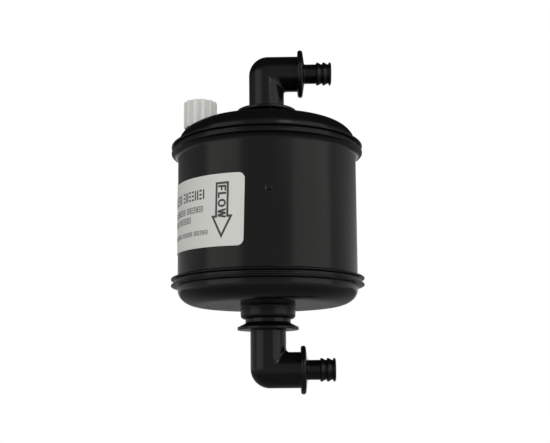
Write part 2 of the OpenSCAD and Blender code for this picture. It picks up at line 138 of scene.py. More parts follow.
def upright(radius, heights):
    """Rows of a straight wall at one radius, facing out."""
    ones = np.ones_like(heights)
    return np.column_stack([radius * ones, heights, ones, 0 * ones])


print("points on one rounded corner:", len(bends([(0.0, 0.0), (1.0, 0.0, EDGE), (1.0, 1.0)])))

# %% Grid helpers
def full_turn(count):
    """Angles of a whole turn, without the repeated last one."""
    return np.linspace(0, 2 * np.pi, count, endpoint=False)


def revolve(section, angles):
    """Carries a section round Z: the point is (r cos a, r sin a, z), and the normal turns with it."""
    r, z, nr, nz = (column[:, None] for column in section.T)
    c, s = np.cos(angles)[None], np.sin(angles)[None]
    flat = np.ones_like(c)
    return np.stack([r * c, r * s, z * flat], -1), np.stack([nr * c, nr * s, nz * flat], -1)


def slopes_normal(grid):
    """Normals of a grid from its own slopes: the step round the piece crossed with the step along it."""
    around = np.roll(grid, -1, 1) - np.roll(grid, 1, 1)
    along = np.gradient(grid, axis=0)
    n = np.cross(around, along)
    return n / np.maximum(np.linalg.norm(n, axis=-1, keepdims=True), 1e-12)


def turned_over(grid):
    """Half a turn about X, which puts a piece made for the top at the bottom."""
    return grid * np.array([1, -1, -1])


# %% Mesh helpers
def quads(rows, columns, loop_rows):
    """Corner numbers of the quads of a grid whose columns close; loop_rows closes its rows too."""
    i = np.arange(rows if loop_rows else rows - 1)[:, None]
    j = np.arange(columns)[None]
    i1, j1 = (i + 1) % rows, (j + 1) % columns
    corner = [i * columns + j, i * columns + j1, i1 * columns + j1, i1 * columns + j]
    return np.stack(corner, -1).reshape(-1, 4)


def fan(ring, pole):
    """Triangles from a closed ring of corner numbers to one pole."""
    return np.stack([ring, np.roll(ring, -1), np.full_like(ring, pole)], 1)


def mesh_of(name, patches):
    """One mesh from several (points, normals, loop_rows) grids in millimetres; open ends close at a pole."""
    points, normals, faces, start = [], [], [], 0
    for grid, normal, loop_rows in patches:
        rows, columns = grid.shape[:2]
        points.append(grid.reshape(-1, 3))
        normals.append(normal.reshape(-1, 3))
        faces += (quads(rows, columns, loop_rows) + start).tolist()
        start += rows * columns
        if not loop_rows:
            first = np.arange(columns) + start - rows * columns
            last = np.arange(columns) + start - columns
            points.append(np.stack([grid[0].mean(0), grid[-1].mean(0)]))
            normals.append(np.stack([normal[0].mean(0), normal[-1].mean(0)]))
            faces += fan(first[::-1], start).tolist() + fan(last, start + 1).tolist()
            start += 2
    mesh = bpy.data.meshes.new(name)
    mesh.from_pydata(np.concatenate(points) * MM, [], faces)
    mesh.polygons.foreach_set("use_smooth", np.ones(len(faces), bool))
    normals = np.concatenate(normals)
    normals /= np.maximum(np.linalg.norm(normals, axis=1, keepdims=True), 1e-12)
    mesh.normals_split_custom_set_from_vertices(normals)
    mesh.update()
    return mesh


def add_piece(name, mesh, body, node=None):
    """Puts a mesh in the scene at the origin, riding on a body, in place of a node if one is named."""
    piece = bpy.data.objects.new(name, mesh)
    bpy.context.scene.collection.objects.link(piece)
    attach(piece, body)
    if node:
        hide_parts(node)
    print(name, "faces:", len(mesh.polygons))
    return piece


# %% [markdown]
# ## Housing wall
# The wall is a tube with a thin lip beside each weld. The rims of the lips are slightly rounded, and a
# fillet runs from the upper lip into the wall. A small round gate mark, where the plastic entered the
# mould, is sunk into the front. A bump map could draw the mark, but from the side it would stay flat. So
# the grid is finer there and its points move inwards, to a flat bottom with a soft slope round it.

# %% Housing section
ROUND_STEPS = 288
UPPER_FILLET, LOWER_FILLET = 2.0, 0.5
GATE_ANGLE, GATE_Z, GATE_R, GATE_DEPTH = math.radians(-87.8), 3.75, 1.3, 0.28
GATE_SLOPE, GATE_GRID, GATE_SHADED, GATE_STEPS = 0.6, 1.3, 1.4, 15
WALL_ROWS = np.linspace(-12, 12, 5)


def lip_corners(base, way, far_r, far_round):
    """Corners of one lip on a weld plane: the bead beside it, the rim, and the radius it runs back to."""
    near, taper = LIP_GAP / 2, (LIP_ROOT - LIP_RIM) / 2
    z = [base + way * h for h in (near, near + taper, near + taper + LIP_RIM, near + LIP_ROOT)]
    rim = [(LIP_R, z[1], LIP_ROUND), (LIP_R, z[2], LIP_ROUND)]
    return [(BEAD_R, z[0], EDGE)] + rim + [(far_r, z[3], far_round)]


def finer_near(values, middle, reach):
    """Adds closely spaced values round one place to a sorted row."""
    return np.unique(np.concatenate([values, middle + np.linspace(-reach, reach, GATE_STEPS)]))


def housing_section():
    """Closed outline of the wall, from its lower inner edge out, up and back."""
    lower = lip_corners(-WELD_Z, 1, WALL_R, LOWER_FILLET)
    upper = lip_corners(WELD_Z, -1, WALL_R, UPPER_FILLET)[::-1]
    inside, outside = (BORE_R, 0.0), (WALL_R, 0.0)
    low = bends([inside, (BORE_R, -WELD_Z, EDGE), (BEAD_R, -WELD_Z, EDGE / 2)] + lower + [outside])
    high = bends([outside] + upper + [(BEAD_R, WELD_Z, EDGE / 2), (BORE_R, WELD_Z, EDGE), inside])
    return np.concatenate([low, upright(WALL_R, finer_near(WALL_ROWS, GATE_Z, GATE_GRID * GATE_R)), high])


print("points on the housing's section:", len(housing_section()))

# %% Housing wall with its gate mark
angles = finer_near(full_turn(ROUND_STEPS) - np.pi, GATE_ANGLE, GATE_GRID * GATE_R / WALL_R)
wall_points, wall_normals = revolve(housing_section(), angles)
across = (angles - GATE_ANGLE)[None] * WALL_R
from_gate = np.hypot(across, wall_points[..., 2] - GATE_Z) / GATE_R
on_wall = np.linalg.norm(wall_points[..., :2], axis=-1) > WALL_R - 0.01
down = np.clip((1 - from_gate) / GATE_SLOPE, 0, 1)
dip = GATE_DEPTH * down**2 * (3 - 2 * down) * on_wall
wall_points = wall_points - wall_normals * dip[..., None]
near_gate = (from_gate < GATE_SHADED) & on_wall
wall_normals = np.where(near_gate[..., None], slopes_normal(wall_points), wall_normals)
housing = add_piece(
    "housing_wall", mesh_of("housing_wall", [(wall_points, wall_normals, True)]),
    "capsule", "housing_body")

# %% [markdown]
# ## Caps
# Each cap is one moulding: a lip on the weld plane, a shoulder that is a quarter of an ellipse, a flat,
# and a boss with the port's bore. It could be built from a dome, a ring and a tube joined by booleans,
# which leave ragged shading at the joins. One section that runs up the outside and back down the inside
# has none, and the wall gets its true thickness. The top cap's vent spout is turned about its own axis.

# %% Cap section
BOSS_R, BOSS_ROUND, BOSS_FILLET = 8.85, 1.3, 0.7
REGISTER_R, REGISTER_IN, REGISTER_LEN = BORE_R - 0.1, BORE_R - 1.0, 2.0


def cap_section(rise, run, shoulder, boss_h, inside):
    """Closed outline of a cap above its weld plane; inside lists the corners between bore and ceiling."""
    centre = (WALL_R - run, rise - shoulder)
    knee = LIP_GAP / 2 + LIP_ROOT
    outer = quarter(*centre, run, shoulder, 0, 90)
    crown = bends(
        [(WALL_R - run, rise), (BOSS_R, rise, BOSS_FILLET), (BOSS_R, rise + boss_h, BOSS_ROUND)]
        + [(PORT_BORE_R, rise + boss_h, EDGE)] + inside + [(WALL_R - run, rise - WALL)])
    inner = quarter(*centre, run - WALL, shoulder - WALL, 90, 0, facing=-1)
    slope = BORE_R - REGISTER_IN
    skirt = bends(
        [(BORE_R, rise - shoulder), (BORE_R, knee, EDGE), (REGISTER_IN, knee - slope, EDGE)]
        + [(REGISTER_IN, -REGISTER_LEN, EDGE), (REGISTER_R, -REGISTER_LEN, EDGE), (REGISTER_R, 0.0, EDGE / 2)]
        + [(BEAD_R, 0.0, EDGE / 2)] + lip_corners(0.0, 1, WALL_R, EDGE) + [(WALL_R, rise - shoulder)])
    return np.concatenate([outer, crown, inner, skirt])


# %% Top cap
VENT_BOSS_R, VENT_BOSS_TOP, VENT_BOSS_ROUND = 4.9, WELD_Z + TOP_RISE + 0.5, 0.3
SPOUT_R, SPOUT_BORE_R, SPOUT_STEPS, SPOUT_SUNK = 3.2, 1.1, 96, 0.5
inner_boss_z = TOP_RISE + INLET_BOSS_H - PORT_BORE_LEN
ceiling = TOP_RISE - WALL
top_section = cap_section(TOP_RISE, TOP_RUN, TOP_SHOULDER, INLET_BOSS_H, [
    (PORT_BORE_R, inner_boss_z, EDGE), (BOSS_R, inner_boss_z, EDGE), (BOSS_R, ceiling, EDGE)])
top_grid, top_normal = revolve(top_section, full_turn(ROUND_STEPS))
sunk = WELD_Z + ceiling - SPOUT_SUNK
in_bore = (SPOUT_BORE_R, sunk + 1)
spout_section = bends([
    in_bore, (SPOUT_BORE_R, sunk, EDGE), (VENT_BOSS_R, sunk, EDGE),
    (VENT_BOSS_R, VENT_BOSS_TOP, VENT_BOSS_ROUND), (SPOUT_R, VENT_BOSS_TOP, EDGE), (SPOUT_R, SPOUT_TOP, EDGE),
    (SPOUT_BORE_R, SPOUT_TOP, EDGE), in_bore])
spout_grid, spout_normal = revolve(spout_section, full_turn(SPOUT_STEPS))
top_patches = [
    (top_grid + [0, 0, WELD_Z], top_normal, True), (spout_grid + [VENT_X, 0, 0], spout_normal, True)]
top_cap = add_piece(
    "top_cap_moulding", mesh_of("top_cap_moulding", top_patches), "capsule", "top_cap")

# %% Bottom cap
SEAT_IN, SEAT_OUT, SEAT_H = 8.15, 9.65, 4.1
floor_in = BOTTOM_DROP - WALL
bore_end = BOTTOM_DROP + OUTLET_BOSS_H - PORT_BORE_LEN
bottom_section = cap_section(BOTTOM_DROP, BOTTOM_RUN, BOTTOM_SHOULDER, OUTLET_BOSS_H, [
    (PORT_BORE_R, bore_end, EDGE), (SEAT_IN, bore_end, EDGE), (SEAT_IN, floor_in - SEAT_H, EDGE),
    (SEAT_OUT, floor_in - SEAT_H, EDGE), (SEAT_OUT, floor_in, EDGE)])
bottom_grid, bottom_normal = revolve(bottom_section, full_turn(ROUND_STEPS))
bottom_patches = [(turned_over(bottom_grid + [0, 0, WELD_Z]), turned_over(bottom_normal), True)]
bottom_cap = add_piece(
    "bottom_cap_moulding", mesh_of("bottom_cap_moulding", bottom_patches),
    "capsule", "bottom_cap")

# %% [markdown]
# ## Elbows
# Both elbows come from one mould: a spigot with an O-ring groove, a neck, a stop disc, a tube that turns
# through a right angle, a hose flange and a barbed tail. Two tubes could be joined by a boolean, but the
# inside of the bend would be a knife edge. All of it is round about the same bent path, so the whole
# elbow is one grid: a radius that changes along the path, out to the tip and back down the passage. Round
# the bend the outer side is nearly a ball of the tube's own radius and the inner side is a tight fillet.

# %% Elbow sizes
SPIGOT_R, NECK_LEN, NECK_ROUND = 7.3, 1.3, 0.4
DISC_R, DISC_T, DISC_RIM_T, DISC_ROUND = 9.9, 2.2, 0.9, 0.28
TUBE_R, TUBE_FOOT_ROUND, PASSAGE_R = 5.75, 0.35, 3.6
SNAP_LIP, SNAP_LEN, SNAP_START, SNAP_ROUND = 0.45, 0.8, PORT_BORE_LEN + 0.2, 0.06
RING_DEPTH, RING_GROOVE_W, RING_GROOVE_R, GROOVE_ROUND = 2.2, 1.6, 6.08, 0.1
FLANGE_X, FLANGE_R, FLANGE_T, FLANGE_RIM_T, FLANGE_ROUND = 10.3, 7.75, 2.25, 1.6, 0.75
FLANGE_FOOT_ROUND, TAIL_FOOT_ROUND = 0.3, 0.4
TAIL_ROOT_R, TAIL_BORE_R, TIP_ROUND, TIP_RISE, TIP_CHAMFER = 3.175, 2.2, 0.2, 0.2, 0.3
CRESTS, CREST_PITCH, CREST_LAND, CREST_RAMP, CREST_BACK = 3, 2.05, 0.4, 1.1, 0.25
CREST_FOOT_ROUND, CREST_BACK_ROUND, CREST_RAMP_ROUND = 0.1, 0.08, 0.12
INNER_FILLET, BEND_SLACK, BEND_BLEND = 0.8, 0.1, 3.0
DISC_FACE = NECK_LEN + DISC_T
HOSE_AXIS = INLET_AXIS_Z - INLET_BOSS_Z
BEND_REACH = TUBE_R + INNER_FILLET + 0.75
print("hose axis above the boss:", round(HOSE_AXIS, 2))

# %% Elbow sections
def tooth(x, last):
    """Corners of one crest whose land ends at x; the last one runs down to the tip."""
    foot = TAIL_TIP if last else x + CREST_RAMP
    land = x - CREST_LAND
    return [
        (TAIL_ROOT_R, land - CREST_BACK, CREST_FOOT_ROUND), (CREST_R, land, CREST_BACK_ROUND),
        (CREST_R, x, CREST_RAMP_ROUND), (TAIL_ROOT_R + TIP_RISE * last, foot, CREST_RAMP_ROUND)]


def leg_section():
    """The upright part as (r, w): down the passage's mouth, round the spigot and up to the bend."""
    spigot_end = SNAP_START + SNAP_LEN
    groove_low, groove_high = -RING_DEPTH - RING_GROOVE_W / 2, -RING_DEPTH + RING_GROOVE_W / 2
    return bends([
        (PASSAGE_R, 0.0), (PASSAGE_R, -spigot_end, EDGE), (SPIGOT_R - SNAP_LIP, -spigot_end, EDGE),
        (SPIGOT_R + SNAP_LIP, -SNAP_START - SNAP_LIP / 2, SNAP_ROUND),
        (SPIGOT_R + SNAP_LIP, -SNAP_START, SNAP_ROUND), (SPIGOT_R, -SNAP_START, GROOVE_ROUND),
        (SPIGOT_R, groove_low, GROOVE_ROUND), (RING_GROOVE_R, groove_low, GROOVE_ROUND),
        (RING_GROOVE_R, groove_high, GROOVE_ROUND), (SPIGOT_R, groove_high, GROOVE_ROUND),
        (SPIGOT_R, NECK_LEN, NECK_ROUND), (DISC_R, DISC_FACE - DISC_RIM_T, DISC_ROUND),
        (DISC_R, DISC_FACE, DISC_ROUND), (TUBE_R, DISC_FACE, TUBE_FOOT_ROUND),
        (TUBE_R, HOSE_AXIS - BEND_REACH)])


def hose_section():
    """The level part as (r, x): from the bend over the flange and the crests to the tip, and back inside."""
    last_land = TAIL_TIP - TIP_CHAMFER
    teeth = [c for i in reversed(range(CRESTS)) for c in tooth(last_land - i * CREST_PITCH, i == 0)]
    return bends(
        [(TUBE_R, BEND_REACH), (TUBE_R, FLANGE_X, FLANGE_FOOT_ROUND), (FLANGE_R, FLANGE_X, FLANGE_ROUND)]
        + [(FLANGE_R, FLANGE_X + FLANGE_RIM_T, FLANGE_ROUND)]
        + [(TAIL_ROOT_R, FLANGE_X + FLANGE_T, TAIL_FOOT_ROUND)]
        + teeth + [(TAIL_BORE_R, TAIL_TIP, TIP_ROUND), (TAIL_BORE_R, FLANGE_X, FLANGE_FOOT_ROUND)]
        + [(PASSAGE_R, FLANGE_X, FLANGE_FOOT_ROUND), (PASSAGE_R, BEND_REACH)])


print("points along the leg:", len(leg_section()), "and along the hose:", len(hose_section()))

# %% Elbow grid
def on_leg(section, a):
    """Points about the upright leg: (-r cos a, -r sin a, w)."""
    r, w, nr, nw = (column[:, None] for column in section.T)
    c, s = np.cos(a)[None], np.sin(a)[None]
    flat = np.ones_like(c)
    return np.stack([-r * c, -r * s, w * flat], -1), np.stack([-nr * c, -nr * s, nw * flat], -1)


def on_hose(section, a):
    """Points about the hose axis: (x, -r sin a, axis + r cos a)."""
    r, x, nr, nx = (column[:, None] for column in section.T)
    c, s = np.cos(a)[None], np.sin(a)[None]
    flat = np.ones_like(c)
    return np.stack([x * flat, -r * s, HOSE_AXIS + r * c], -1), np.stack([nx * flat, -nr * s, nr * c], -1)


def on_bend(radius, a, start, end, facing, steps=20):
    """Points round the bend.

    At the side offset q = r cos a the path is an arc whose centre keeps it tangent to the lines x = -q and
    w = axis + q. Its radius is a soft maximum of q + slack and the inner fillet, m is the slope of that
    radius over q, and the normal leans by g = m + (1 - m)(sin t - cos t).
    """
    t = np.radians(np.linspace(start, end, steps + 1))[:, None]
    c, s = np.cos(a)[None], np.sin(a)[None]
    q = radius * c
    over = q + BEND_SLACK - INNER_FILLET
    root = np.hypot(over, BEND_BLEND)
    arc = INNER_FILLET + (over + root) / 2
    m = (1 + over / root) / 2
    g = m + (1 - m) * (np.sin(t) - np.cos(t))
    y = -radius * s * np.ones_like(t)
    points = np.stack([arc - q + arc * np.cos(t), y, HOSE_AXIS + q - arc + arc * np.sin(t)], -1)
    return points, facing * np.stack([c * np.cos(t), -s * g, c * np.sin(t)], -1)


def elbow_grid(columns=128):
    """The whole elbow as one grid that closes both ways, standing on the rim of its boss."""
    a = full_turn(columns)
    parts = [
        on_leg(leg_section(), a), on_bend(TUBE_R, a, 180, 90, 1),
        on_hose(hose_section(), a), on_bend(PASSAGE_R, a, 90, 180, -1)]
    return np.concatenate([p for p, n in parts]), np.concatenate([n for p, n in parts])


# %% Both elbows
elbow_points, elbow_normals = elbow_grid()
inlet_patch = (elbow_points + [0, 0, INLET_BOSS_Z], elbow_normals, True)
outlet_patch = (turned_over(elbow_points) + [0, 0, OUTLET_BOSS_Z], turned_over(elbow_normals), True)
inlet = add_piece(
    "inlet_elbow_moulding", mesh_of("inlet_elbow_moulding", [inlet_patch]),
    "inlet_fitting", "inlet_elbow")
outlet = add_piece(
    "outlet_elbow_moulding", mesh_of("outlet_elbow_moulding", [outlet_patch]),
    "outlet_fitting", "outlet_elbow")

# %% [markdown]
# ## Vent cap
# The white cap is a knob with flutes for the fingers. Cylinders could be cut out of it with booleans, but
# the ridges would stay sharp. Its grid is a turned section whose radius is also limited by the flutes:
# round each flute's middle the wall follows the cutting tool, a circle just outside the knob. A soft
# minimum of the two radii rounds the ridges as moulding does. How deep a point lies in a flute is kept as
# an attribute, which the material uses to paint shade there, darker towards the bottom of each flute.

# %% Vent cap section
VENT_R, VENT_BASE_ROUND = 5.45, 0.25
VENT_CAVITY_R, VENT_CEILING = 3.6, SPOUT_TOP + 1.1
FLUTED_FROM = VENT_CAVITY_R + 0.3
VENT_CHAMFER, VENT_TOP_ROUND, VENT_CORNER_STEPS = 0.16, 0.12, 8
VENT_ROWS, VENT_ROWS_LOW, VENT_ROWS_HIGH = 10, 0.6, 1.0
TOP_RINGS = np.linspace(4.0, 0.5, 5)
vent_base, vent_top = VENT_LOW[2], VENT_HIGH[2]


def vent_outline():
    """Open outline of the knob: the cavity's ceiling and wall, the base, the fluted side and the top."""
    lower = bends([
        (0.0, VENT_CEILING), (VENT_CAVITY_R, VENT_CEILING, EDGE), (VENT_CAVITY_R, vent_base, EDGE),
        (VENT_R, vent_base, VENT_BASE_ROUND), (VENT_R, vent_top)], VENT_CORNER_STEPS)
    side = upright(VENT_R, np.linspace(vent_base + VENT_ROWS_LOW, vent_top - VENT_ROWS_HIGH, VENT_ROWS))
    upper = bends([
        (VENT_R, vent_base), (VENT_R, vent_top - VENT_CHAMFER, VENT_TOP_ROUND),
        (VENT_R - VENT_CHAMFER, vent_top, VENT_TOP_ROUND), (0.0, vent_top)], VENT_CORNER_STEPS)
    ones = np.ones_like(TOP_RINGS)
    top = np.column_stack([TOP_RINGS, vent_top * ones, 0 * ones, ones])
    return np.concatenate([lower, side, upper, top])


print("vent cap from", round(vent_base, 2), "to", round(vent_top, 2))

# %% Vent cap with its flutes
FLUTES, FLUTE_R, FLUTE_DEPTH, RIDGE_ROUND, FLUTE_STEPS = 12, 1.0, 0.7, 0.07, 24


def flute_radius(a):
    """Radius of the wall cut by flutes: D cos p - sqrt(f^2 - D^2 sin^2 p), p from a flute's middle."""
    pitch = 2 * np.pi / FLUTES
    p = (a + pitch / 2) % pitch - pitch / 2
    tool = VENT_R + FLUTE_R - FLUTE_DEPTH
    inside = FLUTE_R**2 - (tool * np.sin(p)) ** 2
    cut = tool * np.cos(p) - np.sqrt(np.maximum(inside, 0))
    return np.where(inside > 0, cut, VENT_R + 1)


def soft_min(a, b, width):
    """Minimum of two values with its corner rounded over a width."""
    return 0.5 * (a + b - np.sqrt((a - b) ** 2 + width**2))


vent_section = vent_outline()
vent_angles = full_turn(FLUTES * FLUTE_STEPS)
vent_grid, _ = revolve(vent_section, vent_angles)
radius = vent_section[:, :1] * np.ones((1, len(vent_angles)))
fluted = soft_min(radius, flute_radius(vent_angles)[None], RIDGE_ROUND)
outside = vent_section[:, :1] > FLUTED_FROM
vent_grid[..., :2] *= np.where(outside, fluted / radius, 1.0)[..., None]
depth = np.where(outside, radius - fluted, 0.0) / FLUTE_DEPTH
vent_mesh = mesh_of("vent_cap_knob", [(vent_grid + [VENT_X, 0, 0], slopes_normal(vent_grid), False)])
# Flute depth, which drives the painted shade in the flutes.
shade_depth = vent_mesh.attributes.new("flute_depth", "FLOAT", "POINT")
shade_depth.data.foreach_set("value", np.append(depth.ravel(), [0, 0]).astype(np.float32))
vent = add_piece("vent_cap_knob", vent_mesh, "vent_knob", "vent_cap")

# %% [markdown]
# ## Label
# The label is a thin film with round corners, bent round the wall and stuck on at a slight slope. A flat
# plane with a bend modifier could do it, but the print has to lie on exactly the same curve. So one
# function bends any flat shape round the wall, for the film, the flow arrow and the rows of print alike.
# Label coordinates are millimetres along the wall and up the label.

# %% Label film
LABEL_LEN, LABEL_H, LABEL_CORNER, LABEL_T, LABEL_GLUE = 78.6, 22.0, 2.0, 0.12, 0.03
LABEL_ANGLE, LABEL_Z, LABEL_TILT = math.pi, -1.55, math.radians(1.5)
LABEL_STEPS, CORNER_STEPS = 97, 13
FILM_R = WALL_R + LABEL_GLUE


def on_wall_at(s, t, lift):
    """Point of the label at s along it and t up it: both turn by the slope, then the angle is s / R."""
    a = LABEL_ANGLE + (s * math.cos(LABEL_TILT) + t * math.sin(LABEL_TILT)) / WALL_R
    r = FILM_R + lift
    z = LABEL_Z - s * math.sin(LABEL_TILT) + t * math.cos(LABEL_TILT)
    return np.stack(np.broadcast_arrays(r * np.cos(a), r * np.sin(a), z), -1)


half_len = LABEL_LEN / 2
corner_s = LABEL_CORNER * (1 - np.cos(np.linspace(0, np.pi / 2, CORNER_STEPS)))
middle_s = np.linspace(LABEL_CORNER - half_len, half_len - LABEL_CORNER, LABEL_STEPS)[1:-1]
film_s = np.concatenate([corner_s - half_len, middle_s, half_len - corner_s[::-1]])
inset = np.maximum(0, LABEL_CORNER - half_len + np.abs(film_s))
tall = LABEL_H / 2 - LABEL_CORNER + np.sqrt(np.maximum(1e-4, LABEL_CORNER**2 - inset**2))
loop_t = np.array([-1, -0.4, 0.4, 1, 1, 0.4, -0.4, -1])
loop_lift = np.array([0, 0, 0, 0, 1, 1, 1, 1]) * LABEL_T
film_grid = on_wall_at(film_s[:, None], tall[:, None] * loop_t[None], loop_lift[None])
film_angle = (LABEL_ANGLE + film_s / WALL_R)[:, None]
film_face = np.sign(loop_lift - LABEL_T / 2)[None]
film_normal = np.stack(np.broadcast_arrays(
    film_face * np.cos(film_angle), film_face * np.sin(film_angle), 0 * film_face), -1)
film = add_piece(
    "label_film", mesh_of("label_film", [(film_grid, film_normal, False)]), "capsule", "label")

# %% [markdown]
# ## Print
# The printing is a flow arrow with its word, and rows of dark marks where a label carries its lines of
# small print. They are shapes and not lettering, apart from the plain word in the arrow. A picture could
# be laid on the film instead, but shapes stay sharp at any distance. Each is a flat patch that is cut
# finely enough to bend with the wall, and then given the thickness of a coat of ink.

# %% Print shapes
INK_LIFT, INK_T = LABEL_T + 0.012, 0.012
BAR_CUT, OUTLINE_CUTS = 0.8, 7
DASH, UPRIGHTS, MARK_CYCLE, DASH_LEVELS = 1.9, (0, 2, 3, 6), 7, (0.0, 0.5, 1.0)
WORD_MARKS, WORD_SPACE = 9, 3.0
print_points, print_faces = [], []


def add_patch(patch_s, patch_t):
    """Adds a grid patch given in label coordinates to the print."""
    rows, columns = patch_s.shape
    first = sum(len(p) for p in print_points)
    i = np.arange(rows - 1)[:, None]
    j = np.arange(columns - 1)[None]
    corner = [i * columns + j, i * columns + j + 1, (i + 1) * columns + j + 1, (i + 1) * columns + j]
    print_points.append(on_wall_at(patch_s, patch_t, INK_LIFT).reshape(-1, 3))
    print_faces.extend((np.stack(corner, -1).reshape(-1, 4) + first).tolist())


def bar(s0, s1, t0, t1):
    """A filled rectangle."""
    cuts = max(2, int(abs(s1 - s0) / BAR_CUT) + 2)
    add_patch(*np.meshgrid(np.linspace(s0, s1, cuts), np.array([t0, t1])))


def outline(corners, width):
    """A closed line of even width inside an outline: each corner has an inner twin on its mitre."""
    p = np.array(corners, float)
    edge = np.roll(p, -1, 0) - p
    edge /= np.linalg.norm(edge, axis=1, keepdims=True)
    inward = np.stack([-edge[:, 1], edge[:, 0]], 1)
    before = np.roll(inward, 1, 0)
    inner = p + width * (inward + before) / (1 + (inward * before).sum(1))[:, None]
    u = np.linspace(0, 1, OUTLINE_CUTS)[:, None]
    for a, b, c, d in zip(p, np.roll(p, -1, 0), inner, np.roll(inner, -1, 0)):
        both = np.stack([a + (b - a) * u, c + (d - c) * u])
        add_patch(both[..., 0], both[..., 1])


def marks(s_end, s_start, t_low, height, line):
    """A row of small marks that runs back from s_end to s_start: uprights, and stacks of short dashes."""
    dash = DASH * line
    at, i = s_end, 0
    while at - dash > s_start:
        stands = i % MARK_CYCLE in UPRIGHTS
        wide = line if stands else dash
        for level in DASH_LEVELS[:1] if stands else DASH_LEVELS:
            low = t_low + level * (height - line)
            bar(at - wide, at, low, low + (height if stands else line))
        at -= wide + line * (WORD_SPACE if i % WORD_MARKS == WORD_MARKS - 1 else 1.0)
        i += 1


# %% Arrow and rows of print
ARROW_S, ARROW_TOP, ARROW_TIP = half_len - 7.2, 8.45, -8.7
SHAFT_W, HEAD_W, HEAD_H, LINE_W = 4.55, 7.45, 7.05, 0.7
neck = ARROW_TIP + HEAD_H
outline([
    (ARROW_S, ARROW_TIP), (ARROW_S + HEAD_W / 2, neck), (ARROW_S + SHAFT_W / 2, neck),
    (ARROW_S + SHAFT_W / 2, ARROW_TOP), (ARROW_S - SHAFT_W / 2, ARROW_TOP),
    (ARROW_S - SHAFT_W / 2, neck), (ARROW_S - HEAD_W / 2, neck)], LINE_W)
# Each row: room left at the front end and at the far end, lower edge, height and line width.
PRINT_ROWS = (
    (13.9, 5.0, 3.85, 3.0, 0.55), (14.5, 5.0, -0.05, 1.9, 0.4),
    (20.4, 19.0, -2.95, 1.9, 0.4), (12.25, 13.0, -7.1, 1.4, 0.3))
for front, far, low, height, line in PRINT_ROWS:
    marks(half_len - front, far - half_len, low, height, line)
print("print patches:", len(print_points))

# %% Word in the arrow
WORD_H, WORD_START, STEM, ARM = 2.8, 7.45, 0.66, 0.58
F_W, L_W, O_W, W_W, LETTER_GAP = 1.8, 1.7, 2.5, 2.95, 0.36
F_ARM_W, F_ARM_Y = 0.9 * F_W, 0.45 * WORD_H
STROKE_CUTS, RING_CUTS, ZIGZAG_CUTS = 8, 41, 33


def letter_patch(x, y):
    """Adds a patch of a letter: the word reads down the arrow, so x runs down and y to the front edge."""
    add_patch(*np.broadcast_arrays(ARROW_S - WORD_H / 2 + y, WORD_START - x))


def letter_bar(x0, x1, y0, y1):
    """A straight stroke of a letter."""
    letter_patch(np.array([[x0, x1]]), np.linspace(y0, y1, STROKE_CUTS)[:, None])


at = 0.0
letter_bar(at, at + STEM, 0, WORD_H)
letter_bar(at + STEM, at + F_W, WORD_H - ARM, WORD_H)
letter_bar(at + STEM, at + F_ARM_W, F_ARM_Y - ARM / 2, F_ARM_Y + ARM / 2)
at += F_W + LETTER_GAP
letter_bar(at, at + STEM, 0, WORD_H)
letter_bar(at + STEM, at + L_W, 0, ARM)
at += L_W + LETTER_GAP
turn = np.linspace(0, 2 * np.pi, RING_CUTS)[None]
ring = np.array([[0.0], [1.0]])
letter_patch(
    at + O_W / 2 + (O_W / 2 - STEM * ring) * np.cos(turn),
    WORD_H / 2 + (WORD_H / 2 - ARM * ring) * np.sin(turn))
at += O_W + LETTER_GAP
along = np.linspace(0, 4, ZIGZAG_CUTS)[None]
letter_patch(at + along / 4 * (W_W - STEM) + ring * STEM, WORD_H * np.abs(1 - along % 2))
print("word length:", round(at + W_W, 2), "mm")

# %% Ink
print_mesh = bpy.data.meshes.new("label_print")
print_mesh.from_pydata(np.concatenate(print_points) * MM, [], print_faces)
print_mesh.update()
label_print = add_piece("label_print", print_mesh, "capsule")
coat = label_print.modifiers.new("ink coat", "SOLIDIFY")
coat.thickness = INK_T * MM
coat.offset = 0

# %% [markdown]
# ## Finishes
# The black mouldings are polypropylene with a low sheen. Close up, such plastic has a very fine grain,
# long soft patches where the gloss changes, a slow waviness and a few pale specks of dust. Each material
# could have its own copy of these nodes, but a change would then be made many times. They are one node
# group, placed in every moulded material with its own values, and it puts out only what varies over the
# surface.

# %% Node helpers
def add_node(tree, kind, inputs=None, **settings):
    """One node with its settings and socket values; a value that is a socket is linked."""
    node = tree.nodes.new(kind)
    for key, value in settings.items():
        setattr(node, key, value)
    for key, value in (inputs or {}).items():
        if isinstance(value, bpy.types.NodeSocket):
            tree.links.new(value, node.inputs[key])
        else:
            node.inputs[key].default_value = value
    return node


def between(tree, value, low, high):
    """Stretches a 0 to 1 value over low to high."""
    inputs = {"Value": value, "To Min": low, "To Max": high}
    return add_node(tree, "ShaderNodeMapRange", inputs).outputs["Result"]


def rising(tree, value, start, end, **settings):
    """Runs from 0 to 1 while a value runs from start to end."""
    inputs = {"Value": value, "From Min": start, "From Max": end}
    return add_node(tree, "ShaderNodeMapRange", inputs, **settings).outputs["Result"]


def combine(tree, operation, first, second):
    """One step of arithmetic on two values."""
    return add_node(tree, "ShaderNodeMath", {0: first, 1: second}, operation=operation).outputs[0]


def noise(tree, place, scale, **values):
    """A noise pattern, from 0 to 1."""
    inputs = {"Vector": place, "Scale": scale, **values}
    return add_node(tree, "ShaderNodeTexNoise", inputs).outputs["Fac"]


def object_place(tree):
    """The point on the piece in its own coordinates, which are metres here."""
    return add_node(tree, "ShaderNodeTexCoord").outputs["Object"]


def mix_colours(tree, factor, first, second, blend="MIX"):
    """Mixes two colours by a factor; each is a socket or three plain values."""
    ends = {
        key: value if isinstance(value, bpy.types.NodeSocket) else (*value, 1)
        for key, value in (("A", first), ("B", second))}
    node = add_node(tree, "ShaderNodeMix", {"Factor": factor, **ends}, data_type="RGBA", blend_type=blend)
    return node.outputs["Result"]


